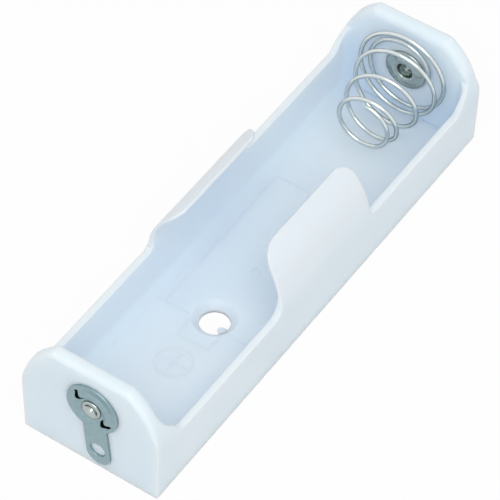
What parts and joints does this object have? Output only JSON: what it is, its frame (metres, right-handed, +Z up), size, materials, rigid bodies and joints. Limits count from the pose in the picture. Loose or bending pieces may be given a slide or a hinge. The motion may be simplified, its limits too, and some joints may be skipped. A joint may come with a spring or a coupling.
{
  "type": "cylindrical cell holder",
  "caption": "Moulded single-cell holder with an arched wall at each end, two curved retaining lobes, riveted solder tags and a conical contact spring.",
  "frame": {"origin": "middle of the underside of the holder, on the surface that it stands on", "axes": "+X along the cell bay from the positive end to the spring end, +Z up out of the open side, +Y across"},
  "size_m": [0.0634, 0.0172, 0.0145],
  "materials": {
    "natural_plastic": "natural translucent polypropylene, smooth satin moulded surface",
    "nickel_sheet": "nickel plated sheet, satin",
    "nickel_bright": "nickel plated, semi bright",
    "spring_wire": "nickel plated spring wire, bright"
  },
  "bodies": {
    "holder": {"housing": "natural_plastic", "positive_tag": "nickel_sheet", "positive_rivet": "nickel_bright", "negative_tag": "nickel_sheet", "negative_rivet": "nickel_bright"},
    "spring": {"contact_spring": "spring_wire"}
  },
  "joints": [
    {"name": "spring_compression", "type": "slide", "parent": "holder", "child": "spring", "axis": [1, 0, 0], "range_m": [0, 0.005], "stiffness_N_per_m": 150, "deforming": ["contact_spring"]}
  ]
}
